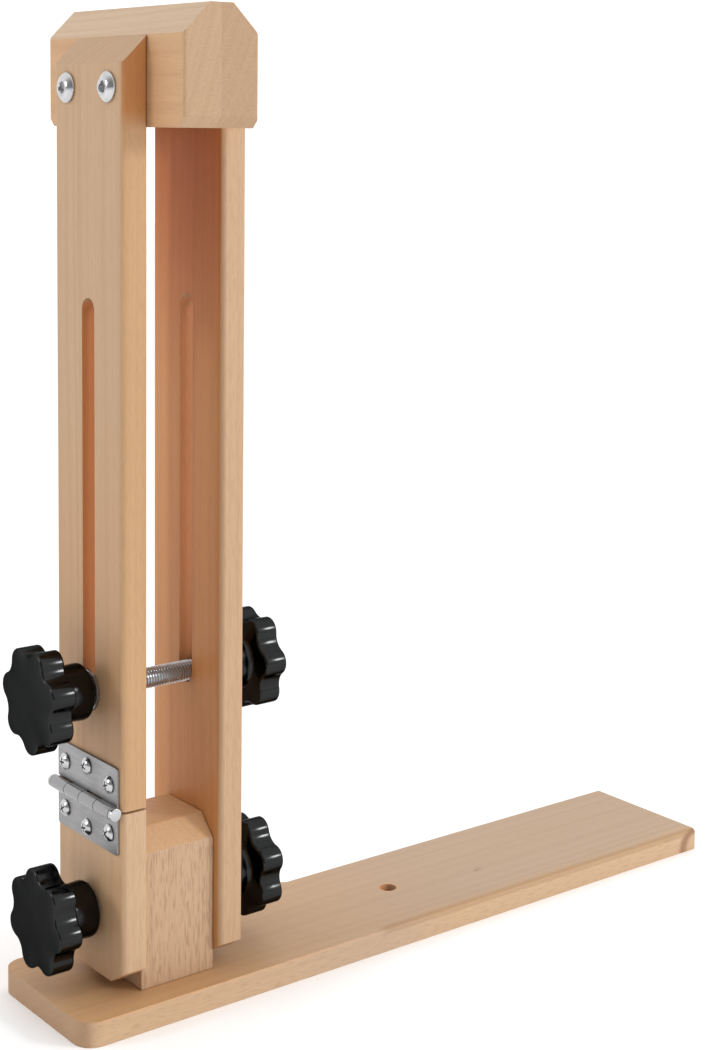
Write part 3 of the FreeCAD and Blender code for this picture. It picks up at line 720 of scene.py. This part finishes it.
def board(node, side, outline, material, slotted=False, pivot=False, screws=()):
    """A board on one side of the throat; a slotted board also carries a jaw and its bolts."""
    inner, outer = side * BOARD_IN, side * BOARD_OUT
    low, high = sorted((inner, outer))
    piece = prism(outline, "X", low, high, node)
    for x, radius in zip((inner, outer), EDGE_ROUND[side]):
        round_long_edges(piece, x, radius)
    tools = []
    if slotted:
        tools.append(slot_tool(SLOT_LOW[side]))
        past, above = side * (BOARD_OUT + 2), JAW_TOP + 13
        slope = [(inner, slope_z(inner)), (past, slope_z(past)), (past, above), (inner, above)]
        tools.append(prism(slope, "Y", -40, 40))
        tools += [bar("X", y, BOLT_Z, BOLT_HOLE, low - 2, high + 2, 32) for y in BOLT_Y]
    if pivot:
        tools.append(bar("X", 0, PIVOT_Z, ROD_BORE, low - 2, high + 2))
    for y, z in screws:
        tools.append(bar("X", y, z, PILOT, side * (BOARD_OUT + 1), side * (BOARD_OUT - PILOT_DEPTH), 24))
    combine(piece, tools)
    soften(piece, 0.8, 4)
    stands_for(piece, node, material)


def boards():
    top = slope_z(BOARD_IN)
    foot_top, swing_low = HINGE_Z - SAW_CUT_HALF, HINGE_Z + SAW_CUT_HALF
    toe = [(-TOE_HALF, BOARD_LOW), (TOE_HALF, BOARD_LOW), (BOARD_HALF, TOE_TOP)]
    fixed = toe + [(BOARD_HALF, top), (-BOARD_HALF, top), (-BOARD_HALF, TOE_TOP)]
    foot = toe + [(BOARD_HALF, foot_top), (-BOARD_HALF, foot_top), (-BOARD_HALF, TOE_TOP)]
    swing = [(-BOARD_HALF, swing_low), (BOARD_HALF, swing_low), (BOARD_HALF, top), (-BOARD_HALF, top)]
    board("fixed_jaw_board", RIGHT, fixed, BOARD_FIXED, slotted=True, pivot=True)
    board("hinge_foot_board", LEFT, foot, BOARD_FOOT, pivot=True, screws=LOWER_SCREWS)
    board("swing_jaw_board", LEFT, swing, BOARD, slotted=True, screws=UPPER_SCREWS)


def jaw_block(node, side, material):
    """A jaw from the meeting plane out to its board, bevelled under both ends."""
    inner, back = side * 0.02, side * BOARD_IN
    outline = [(inner, JAW_LOW), (back, JAW_LOW), (back, slope_z(back))]
    outline += [(side * JAW_CROWN, JAW_TOP), (inner, JAW_TOP)]
    block = prism(outline, "Y", -JAW_HALF, JAW_HALF, node)
    bevel, over = 5, 2
    start, past = JAW_HALF - bevel - over, JAW_HALF + over
    low, high = JAW_LOW - over, JAW_LOW + bevel + over
    bevels = [[(way * start, low), (way * past, high), (way * past, low)] for way in (-1, 1)]
    combine(block, [prism(bevel_outline, "X", -25, 25) for bevel_outline in bevels])

    def back_corner(a, b):
        return abs(a.x - back) + abs(b.x - back) + abs(abs(a.y) - JAW_HALF) + abs(a.y - b.y) < 0.04

    def meeting_face(a, b):
        return abs(a.x - inner) < 0.01 and abs(b.x - inner) < 0.01

    round_edges(block, 2.2, back_corner)
    bottom, mouth = side * 6, side * (BOARD_IN + 2)
    combine(block, [bar("X", y, BOLT_Z, SLEEVE, bottom, mouth, 32) for y in BOLT_Y])
    soften(block, 0.7, keep=meeting_face)
    stands_for(block, node, material)


# ------------------------------------------------------------------ bolts, washers, inserts and rods


def dome(radius, rim, height, flat):
    """Profile of a round head from its rim up to a small flat on top."""
    drop = height - rim
    depth = (radius * radius - flat * flat + drop * drop) / (2 * drop)
    ball, centre = math.hypot(flat, depth), height - depth
    first = math.asin(min(1, (rim - centre) / ball))
    last = math.acos(flat / ball)
    return [(ball * math.cos(a), centre + ball * math.sin(a)) for a in np.linspace(first, last, 9)]


def button_bolt(length):
    """M8, head up, underside of the head at zero."""
    shank, head_top = 3.95, 3.2
    profile = [(0, -length), (3.2, -length), (shank, -length + 0.8), (shank, 0)]
    profile += [(6.7, 0), (7.0, 0.3), (7.0, 0.9)]
    profile += dome(6.9, 1.15, 3.15, 4.1)
    profile += [(shank, head_top), (0, head_top)]
    bolt = lathe(profile, 64, "bolt")
    socket_half = 2.5
    socket = prism(ring(0, 0, socket_half / math.cos(math.radians(30)), 6), "Z", 0.8, 6)
    countersink = lathe([(0, 2.6), (2.55, 2.75), (3.15, 3.4), (0, 3.4)], 48, "tool")
    combine(bolt, [socket, countersink])
    return sharp_by_angle(bolt, 25)


def insert(outer, inner, length):
    """A sleeve that hangs down from zero, with a chamfer at the top."""
    profile = [(inner, 0), (outer - 0.4, 0), (outer, -0.4), (outer, -length), (inner, -length), (inner, 0)]
    return sharp_by_angle(lathe(profile, 48, "insert"))


def washer(outer, inner, thick):
    """A flat ring from zero up, with small chamfers of size e."""
    e = 0.25
    profile = [(inner, e), (inner + e, 0), (outer - e, 0), (outer, e), (outer, thick - e), (outer - e, thick)]
    profile += [(inner + e, thick), (inner, thick - e), (inner, e)]
    return sharp_by_angle(lathe(profile, 64, "washer"))


def fixings():
    """The jaws' bolts and inserts, and those of the post."""
    for name, side in (("fixed", RIGHT), ("swing", LEFT)):
        bolts, sleeves = [], []
        for y, turn in zip(BOLT_Y, (17, 43)):
            bolt = button_bolt(25)
            spin = Matrix.Rotation(math.radians(turn), 4, "Z")
            bolt.data.transform(Matrix.Translation((side * BOARD_OUT, y, BOLT_Z)) @ outward(side) @ spin)
            bolts.append(bolt)
            sleeve = insert(SLEEVE, SLEEVE_BORE, 13)
            sleeve.data.transform(Matrix.Translation((side * BOARD_IN, y, BOLT_Z)) @ outward(side))
            sleeves.append(sleeve)
        stands_for(merged("bolts", bolts), f"{name}_jaw_bolts", STEEL)
        stands_for(merged("inserts", sleeves), f"{name}_jaw_inserts", BRASS)
    down = Matrix.Rotation(math.pi, 4, "X")
    under_head = Matrix.Translation((0, 0, 5))
    stands_for(button_bolt(30), "post_bolt", STEEL, under_head @ down)
    board_top = Matrix.Translation((0, 0, BASE_TOP))
    stands_for(insert(SLEEVE, SLEEVE_BORE, 20), "post_insert", BRASS, board_top @ down)
    stands_for(washer(8, BOLT_HOLE, 1.6), "post_washer", STEEL, under_head)


def threaded_rod(length, radius=4.97, depth=0.85, pitch=1.5, count=28):
    """A real helical thread with a chamfer at both ends, along Z."""
    # one turn of the thread's profile: share of the pitch and share of the depth
    shape = [(0.0, 0.0), (0.12, 0.0), (0.47, 1.0), (0.65, 1.0)]
    chamfer, core_radius = 0.9, 4.15
    turns = int(length / pitch) + 2
    points, faces = [], []
    per_step = len(shape)
    low = -length / 2
    for step in range(turns * count + 1):
        turn = step / count
        angle = 2 * math.pi * turn
        for place, drop in shape:
            z = min(max(low - pitch + pitch * (turn + place), low), -low)
            end = max(0.0, chamfer - min(z - low, -low - z))
            r = radius - max(depth * drop, end)
            points.append((r * math.cos(angle), r * math.sin(angle), z))
    for step in range(turns * count):
        for k in range(per_step):
            a = step * per_step + k
            # the last point of the profile joins the first one a whole turn later
            b = a + 1 if k + 1 < per_step else (step + count) * per_step
            if b + per_step < len(points):
                faces.append((a, b, b + per_step, a + per_step))
    rod = mesh_object("rod", points, faces)
    bm = bmesh.new()
    bm.from_mesh(rod.data)
    bmesh.ops.remove_doubles(bm, verts=bm.verts, dist=0.0005)
    bmesh.ops.recalc_face_normals(bm, faces=bm.faces)
    bm.to_mesh(rod.data)
    bm.free()
    core = bar("Z", 0, 0, core_radius, low, -low, 32, "core")
    return sharp_by_angle(merged("rod", [rod, core]), 40)


def rods_and_knobs():
    """Both rods, each with a washer and a knob at either side; a phase says where a lobe points."""
    phases = {"clamp_left": 17, "clamp_right": 97, "pivot_left": 97, "pivot_right": 80}
    for name, z in (("clamp", ROD_Z), ("pivot", PIVOT_Z)):
        along_x = Matrix.Translation((0, 0, z)) @ outward(RIGHT)
        stands_for(threaded_rod(ROD_LENGTH), f"{name}_rod", ZINC, along_x)
        for side_name, side in (("left", LEFT), ("right", RIGHT)):
            seat = Matrix.Translation((side * BOARD_OUT, 0, z)) @ outward(side)
            plate = washer(WASHER, WASHER_BORE, WASHER_THICK)
            stands_for(plate, f"{name}_washer_{side_name}", HINGE, seat)
            slack = CLAMP_SLACK if (name, side) == ("clamp", LEFT) else 0
            reach = BOARD_OUT + WASHER_THICK + slack
            seat = Matrix.Translation((side * reach, 0, z)) @ outward(side)
            phase = phases[f"{name}_{side_name}"]
            own = phase - 90 if side == LEFT else 90 - phase
            spin = Matrix.Rotation(math.radians(own * -side), 4, "Z")
            knob = f"{name}_knob_{side_name}"
            stands_for(star_knob(), knob, BLACK, seat @ spin)
            sleeve = insert(KNOB_INSERT, ROD_BORE, KNOB_BORE_DEPTH)
            stands_for(sleeve, f"{knob}_insert", BRASS, seat @ Matrix.Translation((0, 0, KNOB_BORE_DEPTH)))


def lobed(inset, lobes=7, steps=7):
    """Outline of the lobed grip, with a lobe on the +X axis, moved inwards by the inset.

    Each lobe is an arc, and so is each valley. Steps is the number of stretches in half of either arc.
    """
    reach, valley, lobe = 25.0, 20.7, 6.6
    step = math.pi / lobes
    far = reach - lobe
    c = math.cos(step)
    dip = (far**2 + valley**2 - 2 * far * valley * c - lobe**2) / (2 * lobe - 2 * valley + 2 * far * c)
    near = valley + dip
    # the way from the lobe's centre to the valley's centre; the two arcs meet on that line
    across, up = near * c - far, near * math.sin(step)
    meet = math.atan2(up, across)
    lobe_round = lobe - inset
    quarter = []
    for i in range(steps):
        a = meet * i / steps
        quarter.append((far + lobe_round * math.cos(a), lobe_round * math.sin(a)))
    back = math.atan2(-up, -across)
    toward = math.atan2(-math.sin(step), -c)
    span = (toward - back) % (2 * math.pi)
    span = span - 2 * math.pi if span > math.pi else span
    valley_round = dip + inset
    for i in range(steps + 1):
        a = back + span * i / steps
        quarter.append((near * c + valley_round * math.cos(a), up + valley_round * math.sin(a)))
    mirrored = [(x, -y) for x, y in quarter[-2:0:-1]]
    points = []
    for k in range(lobes):
        turn = 2 * math.pi * k / lobes
        c, s = math.cos(turn), math.sin(turn)
        points += [(x * c - y * s, x * s + y * c) for x, y in mirrored + quarter]
    return points


def star_knob():
    """Foot of the hub at zero, lobed grip above it with a gently domed face, and a blind bore."""
    back, face = 15.5, 28.0
    back_round, face_round, rim = 1.3, 1.1, 26.4
    layers = []
    for a in np.linspace(0, math.pi / 2, 5):
        layers.append((back_round * (1 - math.sin(a)), back + back_round * (1 - math.cos(a))))
    for a in np.linspace(0, math.pi / 2, 6):
        layers.append((face_round * (1 - math.cos(a)), rim + face_round * math.sin(a)))
    rows = [[(x, y, z) for x, y in lobed(inset)] for inset, z in layers]
    edge = rows[-1]
    for share, height in ((0.93, 27.64), (0.8, 27.78), (0.6, 27.90), (0.35, 27.97), (0.12, face)):
        rows.append([(x * share, y * share, height) for x, y, z in edge])
    count = len(edge)
    points = [p for row in rows for p in row]
    faces = []
    for r in range(len(rows) - 1):
        for i in range(count):
            j = (i + 1) % count
            faces.append((r * count + i, r * count + j, (r + 1) * count + j, (r + 1) * count + i))
    faces.append(tuple(range(len(points) - count, len(points))))
    # the hub from the grip down to its foot, and on into the bore
    hub = [(14.2, back + 0.02), (13.2, back - 0.9), (12.9, back - 3), (13.3, 1.4), (13.0, 0.35), (12.6, 0)]
    hub += [(KNOB_INSERT, 0), (KNOB_INSERT, KNOB_BORE_DEPTH)]
    start = len(points)
    angles = [math.atan2(y, x) for x, y, z in rows[0]]
    for radius, z in hub:
        points += [(radius * math.cos(a), radius * math.sin(a), z) for a in angles]
    last, bottom = len(points) - count, len(points)
    points.append((0, 0, KNOB_BORE_DEPTH))
    for i in range(count):
        j = (i + 1) % count
        faces.append((i, j, start + j, start + i))
        for a in range(start, last, count):
            b = a + count
            faces.append((a + i, a + j, b + j, b + i))
        faces.append((last + i, last + j, bottom))
    knob = mesh_object("knob", points, faces)
    tidy_normals(knob)
    return sharp_by_angle(knob, 50)


# ------------------------------------------------------------------ hinge


def hinge_leaf(node, way, own, screws):
    """A leaf above or below the barrel, with its own knuckles and room for the other leaf's."""
    barrel, pin_bore, room, gap = 3.15, 1.75, 3.75, 0.2
    edge = HINGE_Z + way * LEAF_WIDTH
    low, high = sorted((HINGE_Z, edge))
    outline = [(-LEAF_HALF, low), (LEAF_HALF, low), (LEAF_HALF, high), (-LEAF_HALF, high)]
    leaf = prism(outline, "X", -LEAF_OUT, -BOARD_OUT, node)

    def corner(a, b):
        return abs(a.z - edge) < 0.01 and abs(b.z - edge) < 0.01 and abs(a.y - b.y) < 0.01

    round_edges(leaf, 1.5, corner)
    width = 2 * LEAF_HALF / KNUCKLES
    starts = [-LEAF_HALF + width * i for i in range(KNUCKLES)]
    for i in range(KNUCKLES):
        if i not in own:
            clear = bar("Y", BARREL_X, HINGE_Z, room, starts[i] - gap, starts[i] + width + gap, 48)
            combine(leaf, [clear])
    ends = [(starts[i] + gap, starts[i] + width - gap) for i in own]
    combine(leaf, [bar("Y", BARREL_X, HINGE_Z, barrel, a, b, 64) for a, b in ends], "UNION")
    tools = [bar("Y", BARREL_X, HINGE_Z, pin_bore, -30, 30, 32)]
    tools += [bar("X", y, z, 2.1, -36, -31, 32) for y, z in screws]
    combine(leaf, tools)
    soften(leaf, 0.22, 2, 30)
    stands_for(leaf, node, HINGE)


def hinge_pin():
    half = [(0, 29.3), (2.5, 29.3), (2.95, 29.1), (3.1, 28.7), (3.1, 27.2), (1.7, 27.2)]
    pin = lathe(half + [(r, -z) for r, z in half[::-1]], 48, "pin")
    turn = Matrix.Translation((BARREL_X, 0, HINGE_Z)) @ Matrix.Rotation(math.radians(-90), 4, "X")
    stands_for(sharp_by_angle(pin), "hinge_pin", STEEL, turn)


def hinge_screws(node, places, turns):
    screws = []
    for (y, z), turn in zip(places, turns):
        screw = wood_screw()
        spin = Matrix.Rotation(math.radians(turn), 4, "Z")
        screw.data.transform(Matrix.Translation((-LEAF_OUT, y, z)) @ outward(LEFT) @ spin)
        screws.append(screw)
    stands_for(merged("screws", screws), node, STEEL)


def wood_screw():
    """Head up, with a cross slot that is longer at its foot than at the top."""
    profile = [(0, -11), (1.0, -9.5), (1.75, -7.5), (1.75, 0), (3.7, 0), (3.97, 0.3)]
    profile += dome(4.0, 0.6, 2.35, 0.4) + [(0, 2.37)]
    screw = lathe(profile, 48, "screw")
    arms = []
    for turn in (0, 90):
        arm = prism([(2.2, 0.95), (1.7, 2.9), (-1.7, 2.9), (-2.2, 0.95)], "Y", -0.42, 0.42)
        arm.data.transform(Matrix.Rotation(math.radians(turn), 4, "Z"))
        arms.append(arm)
    combine(screw, arms)
    return sharp_by_angle(screw, 32)


base_board()
post_block()
boards()
jaw_block("fixed_jaw_block", RIGHT, JAW_RIGHT)
jaw_block("swing_jaw_block", LEFT, JAW_LEFT)
fixings()
rods_and_knobs()
hinge_leaf("hinge_leaf_upper", 1, (0, 2), UPPER_SCREWS)
hinge_leaf("hinge_leaf_lower", -1, (1, 3), LOWER_SCREWS)
hinge_pin()
hinge_screws("hinge_screws_upper", UPPER_SCREWS, (20, 65, 5))
hinge_screws("hinge_screws_lower", LOWER_SCREWS, (50, 10, 35))

# ------------------------------------------------------------------ studio


def studio_floor():
    s = Shader("studio_floor")
    white = s.mix(s.noise((3, 3, 3), 2.0), (0.975, 0.975, 0.975), (0.985, 0.985, 0.985))
    s.link(white, s.surface.inputs["Base Color"])
    s.surface.inputs["Roughness"].default_value = 0.9
    s.surface.inputs["Specular IOR Level"].default_value = 0.1
    floor = mesh_object("floor", [(-6, -6, 0), (6, -6, 0), (6, 6, 0), (-6, 6, 0)], [(0, 1, 2, 3)])
    floor.data.materials.append(s.material)


def studio_world():
    """White all round, and dimmer towards the left front, where the boards' wide outer faces look."""
    world = bpy.data.worlds.new("studio")
    bpy.context.scene.world = world
    world.use_nodes = True
    tree = world.node_tree
    sky = tree.nodes["Background"]
    toward = tree.nodes.new("ShaderNodeTexCoord")
    dot = tree.nodes.new("ShaderNodeVectorMath")
    dot.operation = "DOT_PRODUCT"
    dot.inputs[1].default_value = (-0.93, -0.37, 0.0)
    tree.links.new(toward.outputs["Generated"], dot.inputs[0])
    fade = tree.nodes.new("ShaderNodeMapRange")
    fade.interpolation_type = "SMOOTHSTEP"
    for name, number in (("From Min", 0.3), ("From Max", 0.95), ("To Min", 1.17), ("To Max", 0.3)):
        fade.inputs[name].default_value = number
    tree.links.new(dot.outputs["Value"], fade.inputs["Value"])
    sky.inputs["Color"].default_value = (1, 1, 1, 1)
    tree.links.new(fade.outputs["Result"], sky.inputs["Strength"])


def lamp(name, place, size, power):
    """A square light aimed at the clamp, halfway up; place and size in metres."""
    light = bpy.data.lights.new(name, "AREA")
    light.size = size
    light.energy = power
    thing = bpy.data.objects.new(name, light)
    bpy.context.scene.collection.objects.link(thing)
    thing.location = place
    aim = Vector((-0.1, 0, 0.22)) - Vector(place)
    thing.rotation_euler = aim.to_track_quat("-Z", "Y").to_euler()


def camera():
    """A long lens from the left front, a little above the middle, turned and placed in radians and metres."""
    yaw, pitch, roll = 0.904, -0.105, 0.012
    place = Vector((-0.462678 + POST / 1000, -0.745269, 0.413874))
    ahead = Vector((math.cos(yaw) * math.cos(pitch), math.sin(yaw) * math.cos(pitch), math.sin(pitch)))
    level = Vector((math.sin(yaw), -math.cos(yaw), 0))
    above = level.cross(ahead)
    right = math.cos(roll) * level + math.sin(roll) * above
    up = -math.sin(roll) * level + math.cos(roll) * above
    view = bpy.data.cameras.new("camera")
    thing = bpy.data.objects.new("camera", view)
    bpy.context.scene.collection.objects.link(thing)
    basis = Matrix((right, up, -ahead)).transposed().to_4x4()
    thing.matrix_world = Matrix.Translation(place) @ basis
    view.sensor_width = 36
    view.lens = 64.5271886
    view.shift_y = -4 / 21
    view.clip_start = 0.05
    view.clip_end = 50
    bpy.context.scene.camera = thing


studio_floor()
studio_world()
lamp("key", (1.3, -1.65, 1.15), 0.42, 17)
lamp("side", (-1.9, 0.6, 0.9), 0.5, 9)
camera()
bpy.context.scene.view_settings.view_transform = "Standard"
